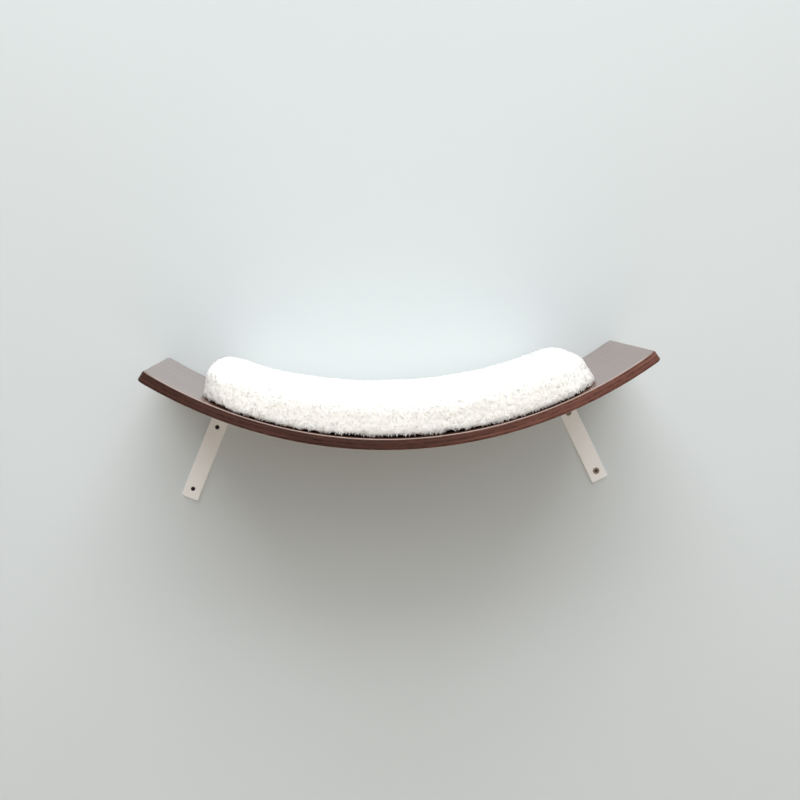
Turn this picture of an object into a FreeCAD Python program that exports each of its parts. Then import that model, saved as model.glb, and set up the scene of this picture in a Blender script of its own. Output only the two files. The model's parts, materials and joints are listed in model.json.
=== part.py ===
import FreeCAD, Part
import math
import os

import Sketcher

# Wall-mounted perch for a cat: a bent plywood board on two flat-bar brackets, with a lift-off plush pad.
# Millimetres, +Z up. The wall is the plane y = 0 and the perch reaches from it towards -Y.
# The origin lies on the wall, midway between the two upper wall screws.
# Every piece is drawn about the axis of the board's bend, a line along Y, and then raised to its place.

SIZES = [
    # bent board
    ("seat_radius", 564.0),
    ("board_half_angle", 34.2),
    ("board_depth", 257.0),
    ("wall_gap", 3.0),
    ("face_veneer", 0.7),
    ("core_ply", 2.5),
    ("glue_line", 0.05),
    ("board_corner", 9.0),
    ("board_edge", 2.2),
    # brackets
    ("bracket_angle", 24.0),
    ("bar_width", 25.0),
    ("bar_thickness", 4.0),
    ("bend_radius", 4.0),
    ("bar_corner", 3.0),
    ("bar_edge", 0.8),
    ("wall_leg", 156.0),
    ("leg_setback", 45.0),
    ("leg_seat", 0.05),
    # wall screws
    ("wall_screw_drop", 46.0),
    ("wall_screw_pitch", 96.0),
    ("wall_screw_length", 42.0),
    ("wall_thread_radius", 2.5),
    ("wall_neck_radius", 1.8),
    ("wall_head_radius", 4.9),
    ("wall_hole_radius", 2.9),
    ("wall_point", 6.0),
    # screws between bracket and board
    ("shelf_screw_start", 40.0),
    ("shelf_screw_end", 36.0),
    ("shelf_screw_reach", 10.0),
    ("shelf_thread_radius", 2.0),
    ("shelf_neck_radius", 1.4),
    ("shelf_head_radius", 3.9),
    ("shelf_hole_radius", 2.3),
    ("shelf_point", 3.0),
    # what all screws share
    ("head_sink", 0.3),
    ("head_seat", 0.05),
    ("thread_clearance", 0.05),
    ("recess_width", 1.8),
    ("recess_length", 5.4),
    ("recess_depth", 1.8),
    # hook and loop tape
    ("tape_width", 25.0),
    ("tape_thickness", 1.5),
    ("tape_margin", 30.0),
    ("tape_pitch", 150.0),
    ("tape_gap", 0.3),
    # pad
    ("pad_front_margin", 4.0),
    ("pad_back_margin", 10.0),
    ("pad_end_margin", 75.0),
    ("pad_height", 56.0),
    ("pad_corner", 50.0),
    ("pad_end_round", 30.0),
    ("pad_draw_in", 3.0),
    ("base_cloth", 1.2),
    ("cloth_inset", 5.0),
    ("seam_gap", 0.1),
    ("pile", 9.0),
    ("foam_gap", 0.3),
    # how far a cutting shape runs past what it cuts
    ("overrun", 1.0),
]

CORE_PLIES = 5
SHELF_SCREWS = 3
WALL_SCREWS = 2
SIDES = (("left", 1), ("right", -1))
TAPES = (("left", 1), ("middle", 0), ("right", -1))

# Half of the pad's cross-section from its foot to its crown, as shares of its half depth and of its height.
PAD_SECTION = ((0.965, 0.0), (1.0, 0.4), (0.955, 0.72), (0.79, 0.89), (0.5, 0.97), (0.0, 1.0))
# The pad's height at its very ends, the power of the curve that rises from there, and the fall of its crown.
PAD_END_HEIGHT_SHARE = 0.6
PAD_END_POWER = 2.4
PAD_CROWN_FALL_SHARE = 0.16
# Where the pad's cross-sections stand on each rounded end, and between the two ends.
PAD_END_SHARES = (0.0, 0.05, 0.14, 0.28, 0.5, 0.75, 1.0)
PAD_MIDDLE_SHARES = (0.25, 0.5, 0.75)
# Two lengths count as the same when they differ by less than this share of them.
SAME_SHARE = 1e-6

doc = FreeCAD.newDocument("cat_perch")
sheet = doc.addObject("Spreadsheet::Sheet", "Sizes")
for row, (alias, number) in enumerate(SIZES, start=1):
    sheet.set(f"A{row}", alias)
    sheet.set(f"B{row}", str(number))
    sheet.setAlias(f"B{row}", alias)
doc.recompute()

# Sizes that follow from the driving ones, as expressions.
BOARD_THICKNESS = (
    f"(2 * Sizes.face_veneer + {CORE_PLIES} * Sizes.core_ply + {CORE_PLIES + 1} * Sizes.glue_line)"
)
UNDERSIDE = f"(Sizes.seat_radius + {BOARD_THICKNESS})"
AXIS_HEIGHT = f"(({UNDERSIDE} + Sizes.wall_screw_drop) * cos(Sizes.bracket_angle))"
LEG_TOP = f"({UNDERSIDE} + Sizes.leg_seat)"
LEG_UNDERSIDE = f"({LEG_TOP} + Sizes.bar_thickness)"
SHELF_LEG = "(Sizes.wall_gap + Sizes.board_depth - Sizes.leg_setback)"
SHELF_SCREW_PITCH = (
    f"(({SHELF_LEG} - Sizes.shelf_screw_start - Sizes.shelf_screw_end) / {SHELF_SCREWS - 1})"
)
SHELF_SCREW_LENGTH = (
    "(Sizes.bar_thickness + Sizes.leg_seat + Sizes.shelf_screw_reach - Sizes.head_sink)"
)
HOOK_FOOT = "(Sizes.seat_radius - Sizes.glue_line)"
HOOK_TOP = f"({HOOK_FOOT} - Sizes.tape_thickness)"
LOOP_FOOT = f"({HOOK_TOP} - Sizes.tape_gap)"
LOOP_TOP = f"({LOOP_FOOT} - Sizes.tape_thickness)"
CLOTH_FOOT = f"({LOOP_TOP} - Sizes.seam_gap)"
PAD_FOOT = f"({CLOTH_FOOT} - Sizes.base_cloth - Sizes.seam_gap)"
PAD_DEPTH = "(Sizes.board_depth - Sizes.pad_front_margin - Sizes.pad_back_margin)"
PAD_BACK = "(Sizes.wall_gap + Sizes.pad_back_margin)"
PAD_HALF_ANGLE = "(Sizes.board_half_angle - Sizes.pad_end_margin / Sizes.seat_radius * 180 / pi)"
TAPE_HALF_ANGLE = "(Sizes.tape_width / 2 / Sizes.seat_radius * 180 / pi)"
TAPE_ANGLE = "(Sizes.tape_pitch / Sizes.seat_radius * 180 / pi)"

LEFT_TO_RIGHT = FreeCAD.Vector(1, 0, 0)
BEND_AXIS = FreeCAD.Vector(0, 1, 0)


def value(expression):
    """The number that an expression in the sheet's sizes stands for."""
    return float(sheet.evalExpression(expression))


def bind(item, expressions):
    for prop, expression in expressions.items():
        item.setExpression(prop, expression)


def same(first, second):
    return abs(first - second) <= SAME_SHARE * max(abs(first), abs(second))


def origin_plane(body, role):
    return next(plane for plane in body.Origin.OriginFeatures if plane.Role == role)


def new_sketch(body, name, role):
    sketch = body.newObject("Sketcher::SketchObject", name)
    sketch.AttachmentSupport = [(origin_plane(body, role), "")]
    sketch.MapMode = "FlatFace"
    return sketch


def set_length(sketch, kind, place, name, expression):
    """Adds a named dimension to a sketch and binds it to the sheet."""
    index = sketch.addConstraint(Sketcher.Constraint(kind, *place, value(expression)))
    sketch.renameConstraint(index, name)
    sketch.setExpression(f"Constraints.{name}", expression)


def join(sketch, *pairs):
    for pair in pairs:
        sketch.addConstraint(Sketcher.Constraint("Coincident", *pair))


def new_pad(body, sketch, name, length, both_sides=False):
    pad = body.newObject("PartDesign::Pad", name)
    pad.Profile = sketch
    if both_sides:
        pad.SideType = "Symmetric"
    bind(pad, {"Length": length})
    return pad


def round_edges(body, name, radius, chosen):
    """Rounds those edges of a body that the function chosen picks."""
    doc.recompute()
    base = body.Tip
    edges = [f"Edge{count}" for count, edge in enumerate(base.Shape.Edges, start=1) if chosen(edge)]
    fillet = body.newObject("PartDesign::Fillet", name)
    fillet.Base = (base, edges)
    bind(fillet, {"Radius": radius})


def bent_slab(name, inner, outer, half_angle, start, depth):
    """A slab of even thickness bent about the Y axis, from y = -start to y = -(start + depth)."""
    body = doc.addObject("PartDesign::Body", name)
    sketch = new_sketch(body, f"{name}_outline", "XZ_Plane")
    bind(sketch, {"AttachmentOffset.Base.z": start})
    turn = math.radians(value(half_angle))
    straight_down = -math.pi / 2
    centre = FreeCAD.Vector()
    arcs = []
    for radius in (inner, outer):
        circle = Part.Circle(centre, FreeCAD.Vector(0, 0, 1), value(radius))
        arcs.append(sketch.addGeometry(Part.ArcOfCircle(circle, straight_down - turn, straight_down + turn)))
    inner_arc, outer_arc = (sketch.Geometry[arc] for arc in arcs)
    left = sketch.addGeometry(Part.LineSegment(inner_arc.StartPoint, outer_arc.StartPoint))
    right = sketch.addGeometry(Part.LineSegment(inner_arc.EndPoint, outer_arc.EndPoint))
    join(sketch, (arcs[0], 3, -1, 1), (arcs[1], 3, -1, 1))
    join(sketch, (arcs[0], 1, left, 1), (arcs[1], 1, left, 2), (arcs[0], 2, right, 1), (arcs[1], 2, right, 2))
    for line in (left, right):
        sketch.addConstraint(Sketcher.Constraint("PointOnObject", -1, 1, line))
    half_width = f"({outer} * sin({half_angle}))"
    set_length(sketch, "Radius", (arcs[0],), "inner", inner)
    set_length(sketch, "Radius", (arcs[1],), "outer", outer)
    set_length(sketch, "DistanceX", (left, 2, -1, 1), "left_reach", half_width)
    set_length(sketch, "DistanceX", (-1, 1, right, 2), "right_reach", half_width)
    new_pad(body, sketch, f"{name}_pad", depth)
    return body


def runs_through_slab(edge):
    """True for the straight edges that run through a bent slab's thickness at its corners."""
    return isinstance(edge.Curve, Part.Line) and same(1, 1 + abs(edge.Curve.Direction.y))


def rims_slab(edge):
    """True for the edges round the upper and the lower face of a bent slab."""
    radii = [math.hypot(corner.X, corner.Z) for corner in edge.Vertexes]
    return same(min(radii), max(radii))


def cylinder(name, radius, length, base, turn):
    """A cylinder along its own Z, turned by an angle about X and moved by expressions for y and z."""
    item = doc.addObject("Part::Cylinder", name)
    bind(item, {"Radius": radius, "Height": length})
    move(item, base, turn)
    return item


def cone(name, first_radius, second_radius, length, base, turn):
    item = doc.addObject("Part::Cone", name)
    bind(item, {"Radius1": first_radius, "Radius2": second_radius, "Height": length})
    move(item, base, turn)
    return item


def move(item, base, turn):
    item.Placement = FreeCAD.Placement(FreeCAD.Vector(), FreeCAD.Rotation(LEFT_TO_RIGHT, turn))
    bind(item, {f"Placement.Base.{letter}": expression for letter, expression in base.items()})


def fuse(name, items):
    item = doc.addObject("Part::MultiFuse", name)
    item.Shapes = items
    return item


def group(name, items):
    item = doc.addObject("Part::Compound", name)
    item.Links = items
    return item


def cut(name, base, tool):
    item = doc.addObject("Part::Cut", name)
    item.Base = base
    item.Tool = tool
    return item


def bent_slice(name, base, inner, outer):
    """What lies of a solid between two radii about the axis of the bend."""
    length = "Sizes.wall_gap + Sizes.board_depth + Sizes.overrun"
    minus_y_angle = 90
    outside = cylinder(f"{name}_outside", outer, length, {}, minus_y_angle)
    inside = cylinder(f"{name}_inside", inner, length, {}, minus_y_angle)
    item = doc.addObject("Part::Common", name)
    item.Base = base
    item.Tool = cut(f"{name}_ring", outside, inside)
    return item


NODES = []


def finish(item, label, side=0, angle="0"):
    """Names a finished piece, turns it about the bend's axis to its side and raises it to its place."""
    item.Label = label
    item.Placement = FreeCAD.Placement(FreeCAD.Vector(), FreeCAD.Rotation(BEND_AXIS, side * value(angle)))
    if side:
        bind(item, {"Placement.Rotation.Angle": angle if side > 0 else f"-{angle}"})
    bind(item, {"Placement.Base.z": AXIS_HEIGHT})
    NODES.append(item)


# Screws

INTO_WALL_ANGLE = -90
INTO_BOARD_ANGLE = 0


def screw(name, kind, length, base, turn):
    """A countersunk screw: head, smooth neck, thread as a plain envelope, point, and a cross in the head."""
    head = f"Sizes.{kind}_head_radius"
    neck = f"Sizes.{kind}_neck_radius"
    thread = f"Sizes.{kind}_thread_radius"
    point = f"Sizes.{kind}_point"
    under_head = f"({head} - {neck})"
    in_bar = "(Sizes.bar_thickness - Sizes.head_sink)"
    pieces = [
        cone(f"{name}_head", head, neck, under_head, {}, 0),
        cylinder(f"{name}_neck", neck, in_bar, {}, 0),
        cylinder(f"{name}_thread", thread, f"{length} - {point} - {in_bar}", {"z": in_bar}, 0),
        cone(f"{name}_point", thread, "0", point, {"z": f"{length} - {point}"}, 0),
    ]
    arms = []
    for arm in ("x", "y"):
        across = "y" if arm == "x" else "x"
        box = doc.addObject("Part::Box", f"{name}_recess_{arm}")
        spans = {"x": "Length", "y": "Width"}
        bind(box, {spans[arm]: "Sizes.recess_length", spans[across]: "Sizes.recess_width"})
        bind(box, {"Height": "Sizes.recess_depth + Sizes.overrun"})
        bind(box, {f"Placement.Base.{arm}": "-Sizes.recess_length / 2"})
        bind(box, {f"Placement.Base.{across}": "-Sizes.recess_width / 2"})
        bind(box, {"Placement.Base.z": "-Sizes.overrun"})
        arms.append(box)
    item = cut(name, fuse(f"{name}_blank", pieces), fuse(f"{name}_recess", arms))
    move(item, base, turn)
    return item


def screw_hole(name, kind, base, turn):
    """What a countersunk screw takes out of the bar, from the bar's outer face at the given place inwards."""
    hole = f"Sizes.{kind}_hole_radius"
    mouth = f"(Sizes.{kind}_head_radius + Sizes.head_sink + Sizes.head_seat)"
    through = "Sizes.bar_thickness + 2 * Sizes.overrun"
    bore = cylinder(f"{name}_bore", hole, through, {"z": "-Sizes.overrun"}, 0)
    sink = cone(
        f"{name}_sink",
        f"{mouth} + Sizes.overrun",
        hole,
        f"{mouth} + Sizes.overrun - {hole}",
        {"z": "-Sizes.overrun"},
        0,
    )
    item = fuse(name, [bore, sink])
    move(item, base, turn)
    return item


def wall_screw_place(count, depth):
    drop = f"({UNDERSIDE} + Sizes.wall_screw_drop + {count} * Sizes.wall_screw_pitch)"
    return {"y": f"-Sizes.bar_thickness + {depth}", "z": f"-{drop}"}


def shelf_screw_place(count, depth):
    reach = f"(Sizes.shelf_screw_start + {count} * {SHELF_SCREW_PITCH})"
    return {"y": f"-{reach}", "z": f"-{LEG_UNDERSIDE} + {depth}"}


# Brackets


def bracket_blank(name):
    """A flat bar bent to an L: one leg down the wall, the other out under the board."""
    body = doc.addObject("PartDesign::Body", name)
    sketch = new_sketch(body, f"{name}_profile", "YZ_Plane")
    thickness = value("Sizes.bar_thickness")
    bend = value("Sizes.bend_radius")
    top = -value(LEG_TOP)
    leg_end = -value(f"({UNDERSIDE} + Sizes.wall_leg)")
    tip = -value(SHELF_LEG)
    bend_out = -(bend + thickness)
    bend_down = top + bend_out
    centre = FreeCAD.Vector(bend_out, bend_down, 0)
    upward = FreeCAD.Vector(0, 0, 1)
    corners = [
        (tip, top),
        (bend_out, top),
        (0, bend_down),
        (0, leg_end),
        (-thickness, leg_end),
        (-thickness, bend_down),
        (bend_out, top - thickness),
        (tip, top - thickness),
    ]
    points = [FreeCAD.Vector(y, z, 0) for y, z in corners]
    over = sketch.addGeometry(Part.LineSegment(points[0], points[1]))
    outside = Part.Circle(centre, upward, bend + thickness)
    outer = sketch.addGeometry(Part.ArcOfCircle(outside, 0, math.pi / 2))
    back = sketch.addGeometry(Part.LineSegment(points[2], points[3]))
    foot = sketch.addGeometry(Part.LineSegment(points[3], points[4]))
    front = sketch.addGeometry(Part.LineSegment(points[4], points[5]))
    inside = Part.Circle(centre, upward, bend)
    inner = sketch.addGeometry(Part.ArcOfCircle(inside, 0, math.pi / 2))
    under = sketch.addGeometry(Part.LineSegment(points[6], points[7]))
    end = sketch.addGeometry(Part.LineSegment(points[7], points[0]))
    join(sketch, (back, 2, foot, 1), (foot, 2, front, 1), (under, 2, end, 1), (end, 2, over, 1))
    for pair in ((over, 2, outer, 2), (outer, 1, back, 1), (front, 2, inner, 1), (inner, 2, under, 1)):
        sketch.addConstraint(Sketcher.Constraint("Tangent", *pair))
    for line in (over, foot, under):
        sketch.addConstraint(Sketcher.Constraint("Horizontal", line))
    for line in (back, front, end):
        sketch.addConstraint(Sketcher.Constraint("Vertical", line))
    sketch.addConstraint(Sketcher.Constraint("PointOnObject", back, 2, -2))
    set_length(sketch, "DistanceY", (over, 1, -1, 1), "seat_drop", LEG_TOP)
    set_length(sketch, "DistanceX", (foot, 2, foot, 1), "wall_leg_thickness", "Sizes.bar_thickness")
    set_length(sketch, "DistanceY", (end, 1, end, 2), "shelf_leg_thickness", "Sizes.bar_thickness")
    set_length(sketch, "DistanceY", (back, 2, -1, 1), "leg_drop", f"({UNDERSIDE} + Sizes.wall_leg)")
    set_length(sketch, "DistanceX", (end, 2, -1, 1), "leg_reach", SHELF_LEG)
    set_length(sketch, "Radius", (inner,), "inside_bend", "Sizes.bend_radius")
    set_length(sketch, "Radius", (outer,), "outside_bend", "(Sizes.bend_radius + Sizes.bar_thickness)")
    new_pad(body, sketch, f"{name}_pad", "Sizes.bar_width", both_sides=True)

    def corner(edge):
        middle = edge.CenterOfMass
        on_side = same(abs(middle.x), value("Sizes.bar_width") / 2)
        on_foot = same(middle.z, leg_end)
        on_tip = same(middle.y, tip)
        return on_side and (on_foot or on_tip)

    def side_rim(edge):
        return all(same(abs(place.X), value("Sizes.bar_width") / 2) for place in edge.Vertexes)

    round_edges(body, f"{name}_corners", "Sizes.bar_corner", corner)
    round_edges(body, f"{name}_rims", "Sizes.bar_edge", side_rim)
    return body


def make_brackets():
    for side, sign in SIDES:
        name = f"{side}_bracket"
        holes = [
            screw_hole(f"{name}_wall_hole_{count}", "wall", wall_screw_place(count, "0"), INTO_WALL_ANGLE)
            for count in range(WALL_SCREWS)
        ]
        holes += [
            screw_hole(f"{name}_shelf_hole_{count}", "shelf", shelf_screw_place(count, "0"), INTO_BOARD_ANGLE)
            for count in range(SHELF_SCREWS)
        ]
        drilled = cut(f"{name}_drilled", bracket_blank(f"{name}_bar"), fuse(f"{name}_holes", holes))
        finish(drilled, name, sign, "Sizes.bracket_angle")


def make_screws():
    for side, sign in SIDES:
        into_wall = [
            screw(
                f"{side}_wall_screw_{count}",
                "wall",
                "Sizes.wall_screw_length",
                wall_screw_place(count, "Sizes.head_sink"),
                INTO_WALL_ANGLE,
            )
            for count in range(WALL_SCREWS)
        ]
        into_board = [
            screw(
                f"{side}_shelf_screw_{count}",
                "shelf",
                SHELF_SCREW_LENGTH,
                shelf_screw_place(count, "Sizes.head_sink"),
                INTO_BOARD_ANGLE,
            )
            for count in range(SHELF_SCREWS)
        ]
        finish(group(f"{side}_wall_group", into_wall), f"{side}_wall_screws", sign, "Sizes.bracket_angle")
        finish(group(f"{side}_shelf_group", into_board), f"{side}_shelf_screws", sign, "Sizes.bracket_angle")


# Board


def pilot_holes():
    """The blind holes that the shelf screws fill in the board's underside."""
    holes = []
    for side, sign in SIDES:
        side_holes = []
        for count in range(SHELF_SCREWS):
            place = shelf_screw_place(count, "Sizes.bar_thickness - Sizes.overrun")
            depth = "Sizes.overrun + Sizes.leg_seat + Sizes.shelf_screw_reach + Sizes.thread_clearance"
            radius = "Sizes.shelf_thread_radius + Sizes.thread_clearance"
            side_holes.append(cylinder(f"{side}_pilot_{count}", radius, depth, place, INTO_BOARD_ANGLE))
        row = group(f"{side}_pilots", side_holes)
        row.Placement = FreeCAD.Placement(FreeCAD.Vector(), FreeCAD.Rotation(BEND_AXIS, sign))
        bind(row, {"Placement.Rotation.Angle": f"{sign} * Sizes.bracket_angle"})
        holes.append(row)
    return fuse("pilot_holes", holes)


def make_board():
    blank = bent_slab(
        "board_blank",
        "Sizes.seat_radius",
        UNDERSIDE,
        "Sizes.board_half_angle",
        "Sizes.wall_gap",
        "Sizes.board_depth",
    )
    round_edges(blank, "board_corners", "Sizes.board_corner", runs_through_slab)
    round_edges(blank, "board_rims", "Sizes.board_edge", rims_slab)
    drilled = cut("board_drilled", blank, pilot_holes())
    first_ply = "Sizes.seat_radius + Sizes.face_veneer + Sizes.glue_line"
    step = "(Sizes.core_ply + Sizes.glue_line)"
    layers = [("top_veneer", "Sizes.seat_radius - Sizes.overrun", "Sizes.seat_radius + Sizes.face_veneer")]
    for count in range(CORE_PLIES):
        inner = f"{first_ply} + {count} * {step}"
        layers.append((f"core_ply_{count + 1}", inner, f"{inner} + Sizes.core_ply"))
    layers.append(("bottom_veneer", f"{UNDERSIDE} - Sizes.face_veneer", f"{UNDERSIDE} + Sizes.overrun"))
    for label, inner, outer in layers:
        finish(bent_slice(f"{label}_slice", drilled, inner, outer), label)


# Hook and loop tape


def make_tapes():
    start = f"({PAD_BACK} + Sizes.tape_margin)"
    length = f"({PAD_DEPTH} - 2 * Sizes.tape_margin)"
    kinds = (("hook", HOOK_TOP, HOOK_FOOT), ("loop", LOOP_TOP, LOOP_FOOT))
    for kind, inner, outer in kinds:
        for place, sign in TAPES:
            tape = bent_slab(f"{kind}_tape_{place}", inner, outer, TAPE_HALF_ANGLE, start, length)
            finish(tape, f"{kind}_strip_{place}", sign, TAPE_ANGLE)


# Pad


def pad_height_at(run, height):
    """The pad's height at a distance from its end: a steep rounded rise to the crown."""
    rise = min(run / value("Sizes.pad_end_round"), 1)
    share = (1 - (1 - rise) ** PAD_END_POWER) ** (1 / PAD_END_POWER)
    return height * (PAD_END_HEIGHT_SHARE + (1 - PAD_END_HEIGHT_SHARE) * share)


def pad_section(angle, half_depth, height, below):
    """One cross-section of the pad, in the plane through the bend's axis at the given angle."""
    middle = -value(f"{PAD_BACK} + {PAD_DEPTH} / 2")
    foot_radius = value(PAD_FOOT)

    def point(depth, up):
        radius = foot_radius - up
        return FreeCAD.Vector(radius * math.sin(angle), middle + depth, -radius * math.cos(angle))

    rise = height + below
    front = [(-half_depth * depth_share, rise * up_share - below) for depth_share, up_share in PAD_SECTION]
    back = [(-depth, up) for depth, up in reversed(front[:-1])]
    points = [point(depth, up) for depth, up in front + back]
    skin = Part.BSplineCurve()
    skin.interpolate(points)
    underside = Part.LineSegment(points[-1], points[0])
    return Part.Wire([skin.toShape(), underside.toShape()])


def pad_form(name, inset, below):
    """The pad's form, drawn in by inset all round: a crowned loft with rounded ends along the bend."""
    radius = value(PAD_FOOT)
    half_run = math.radians(value(PAD_HALF_ANGLE)) * radius - inset
    half_depth = value(PAD_DEPTH) / 2 - inset
    corner = value("Sizes.pad_corner") - inset
    height = value("Sizes.pad_height") - inset
    straight = half_run - corner
    runs = [-half_run + share * corner for share in PAD_END_SHARES]
    runs += [-straight + 2 * straight * share for share in PAD_MIDDLE_SHARES]
    runs += [half_run - share * corner for share in reversed(PAD_END_SHARES)]
    sections = []
    for run in runs:
        from_end = half_run - abs(run)
        short = max(corner - from_end, 0)
        rounded_off = corner - math.sqrt(corner**2 - short**2)
        along_share = math.cos(math.pi / 2 * run / half_run)
        drawn_in = value("Sizes.pad_draw_in") * along_share**2
        crown = height * (1 - PAD_CROWN_FALL_SHARE * (1 - along_share**2))
        section_height = pad_height_at(from_end, crown)
        sections.append(pad_section(run / radius, half_depth - rounded_off - drawn_in, section_height, below))
    item = doc.addObject("Part::Feature", name)
    item.Shape = Part.makeLoft(sections, True, False)
    return item


def make_pad():
    below = value("Sizes.seam_gap + Sizes.base_cloth + Sizes.overrun")
    cloth_plan = pad_form("cloth_plan", value("Sizes.cloth_inset"), below)
    cloth = bent_slice("cloth_slice", cloth_plan, f"({CLOTH_FOOT} - Sizes.base_cloth)", CLOTH_FOOT)
    finish(cloth, "base_cloth")
    pile = value("Sizes.pile")
    foam = pad_form("foam_form", pile + value("Sizes.foam_gap"), 0)
    finish(foam, "foam_core")
    cavity = pad_form("cavity_form", pile, value("Sizes.overrun"))
    cover = cut("cover_shell", pad_form("cover_form", 0, 0), cavity)
    finish(cover, "plush_cover")


make_board()
make_brackets()
make_screws()
make_tapes()
make_pad()
doc.recompute()

for item in doc.Objects:
    if "Invalid" in item.State or "Error" in item.State:
        raise RuntimeError(f"{item.Name} failed: {item.State}")
    if item.isDerivedFrom("Part::Cut") and item.Shape.Volume >= item.Base.Shape.Volume:
        raise RuntimeError(f"{item.Name} cut nothing away")
for item in NODES:
    if item.Shape.isNull() or not item.Shape.isValid() or not item.Shape.Solids:
        raise RuntimeError(f"{item.Label} has no valid shape")

os.makedirs("parts", exist_ok=True)
for item in NODES:
    item.Shape.exportStep(f"parts/{item.Label}.step")
    box = item.Shape.BoundBox
    print(
        f"{item.Label}: {len(item.Shape.Solids)} solids, {item.Shape.Volume:.0f} mm3,",
        f"x {box.XMin:.1f} to {box.XMax:.1f}, y {box.YMin:.1f} to {box.YMax:.1f},",
        f"z {box.ZMin:.1f} to {box.ZMax:.1f}",
    )
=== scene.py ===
import json
import math

import bmesh
import bpy
import numpy as np
from mathutils import Matrix, Vector, noise
from mathutils.kdtree import KDTree


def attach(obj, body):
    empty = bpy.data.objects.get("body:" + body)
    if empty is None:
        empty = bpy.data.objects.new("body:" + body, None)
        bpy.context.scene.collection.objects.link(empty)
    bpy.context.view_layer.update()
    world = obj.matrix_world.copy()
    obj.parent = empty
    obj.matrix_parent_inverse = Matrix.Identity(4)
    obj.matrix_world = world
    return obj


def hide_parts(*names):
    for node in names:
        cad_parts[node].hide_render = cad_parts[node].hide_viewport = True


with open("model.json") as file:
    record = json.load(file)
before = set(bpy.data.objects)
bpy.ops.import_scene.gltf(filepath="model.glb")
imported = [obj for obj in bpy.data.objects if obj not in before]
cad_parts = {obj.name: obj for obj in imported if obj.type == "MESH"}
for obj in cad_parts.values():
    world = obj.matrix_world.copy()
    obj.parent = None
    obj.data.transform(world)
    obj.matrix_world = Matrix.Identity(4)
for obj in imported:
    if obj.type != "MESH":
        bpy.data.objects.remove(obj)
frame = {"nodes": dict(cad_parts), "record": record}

# Looks of a wall-mounted cat perch: lacquered walnut plywood, powder-coated brackets and a white
# fleece pad. Metres, in the part's own frame: +Z up, the wall is y = 0 and the perch reaches from
# it towards -Y.

MM = 0.001
TINY = 1e-12
UP = np.array([0, 0, 1])
SQUARE = ((-1, -1), (1, -1), (1, 1), (-1, 1))
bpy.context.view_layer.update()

# The board's upper face is part of a cylinder about an axis along Y.
SEAT_RADIUS = 564 * MM
AXIS_HEIGHT = 570.24 * MM

# A painted highlight lightens the front rim of the board, more and more between these distances from
# the wall.
# The painted highlight fades out between these lengths along the bend.
RIM_HIGHLIGHT_SPAN = (245 * MM, 259 * MM)
RIM_HIGHLIGHT_ENDS = (316 * MM, 332 * MM)
RIM_HIGHLIGHT_TONE = (0.42, 0.3, 0.255)

# Painted shade: the edges of the plies are darker to the left and grow paler to the right between these
# lengths along the bend.
PAINTED_PLY_SHADE_SPAN = (-100 * MM, 200 * MM)

# Materials
WHITE = (1.0, 1.0, 1.0)
NOISE_ROUGHNESS = 0.55

# Camera, as the photograph was taken
CAMERA_PLACE = (-85 * MM, -1796 * MM, 214.6 * MM)
CAMERA_TURN = math.radians(-3.02)
CAMERA_TILT = math.radians(-5.927)
CAMERA_ROLL = math.radians(2.05)
CAMERA_LENS = 56.33
CAMERA_NEAR = 10 * MM

# Stage and light
FLOOR_HEIGHT = -1.3
STAGE_REACH = 5.0
WALL_BEHIND = 0.6 * MM
WALL_COLOUR = (0.655, 0.702, 0.715)
FLOOR_COLOUR = (0.62, 0.53, 0.44)
STAGE_MOTTLE = 0.985
WORLD_COLOUR = (0.96, 0.99, 1.0, 1)
WORLD_STRENGTH = 0.2

# Pad: an even skin on the foam's form, swollen as cloth, divided and smoothed
PAD_SEED = 11
PAD_VOXEL = 4.5 * MM
MERGE_WITHIN = 0.01 * MM
PAD_SEATED = 1.5 * MM
PAD_PRESSURE = 4
PAD_SWELL_CAP = 7.4 * MM
PAD_SWELL_LEAST = 6.4 * MM
SWELL_FRAMES = 20
PAD_CUTS = 2
PAD_SMOOTHINGS = 3
SMOOTHING_SHARE = 0.5
UNDERSIDE_NORMAL = -0.5
PAD_LEAN = 11 * MM
PAD_LEAN_HEIGHT = 40 * MM

# The pad's lower rim, filled out and set down round the cloth
RIM_FREE = 8 * MM
RIM_RISE = 24 * MM
RIM_REACH = 26 * MM
RIM_PUSH_RUN = 1.5 * MM
RIM_PUSH_DEPTH = 4.6 * MM
RIM_FLOOR = 1.5 * MM
RIM_TUCK = 3 * MM
RIM_STEP = 1.2 * MM

# Relief of the fleece
PICKS_PER_POINT = 6
NEIGHBOURS = [(i, j, k) for i in (-1, 0, 1) for j in (-1, 0, 1) for k in (-1, 0, 1)]
MOST_LOCKS = 12000
LOCK_SPACING = 8.4 * MM
LOCK_HEIGHT = 0.8 * MM
LOCK_SIZES = (0.55, 1.25)
LOCK_SINK = 0.5
WAVE_LENGTH = 42 * MM
WAVE_HEIGHT = 1.3 * MM
CRIMP_LENGTH = 4.2 * MM
CRIMP_TWIST = 0.8
CRIMP_HEIGHT = 0.3 * MM
RELIEF_FADE = 4 * MM

# Wisps of fleece that lie over on the pad: on its top, on its sides and as a fringe round its foot
TOP_WISPS = 11800
SIDE_WISPS = 9000
FRINGE_WISPS = 2700
WISP_SPACING = 2.4 * MM
FRINGE_SPACING = 1.7 * MM
TOP_NORMAL = 0.8
SIDES_ABOVE_FOOT = 3 * MM
FRINGE_ABOVE_FOOT = 5 * MM
TOP_DROOP = 0
SIDE_DROOP = 0.4
FRINGE_DROOP = 1.0
WISP_RINGS = 3
WISP_SIDES = 3
WISP_SINK = 1.0 * MM
WISP_LENGTH = (3.6 * MM, 5.6 * MM)
WISP_RADIUS = (0.9 * MM, 1.3 * MM)
WISP_LEAN = (math.radians(72), math.radians(96))
WISP_CLUMP = 16 * MM
WISP_STRAY = 0.6
WISP_SOFTNESS = 0.68
WISP_UPWARD = 0.8
WISP_LIT_SPAN = (12 * MM, 34 * MM)
BOARD_CLEARANCE = 0.7 * MM

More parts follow.
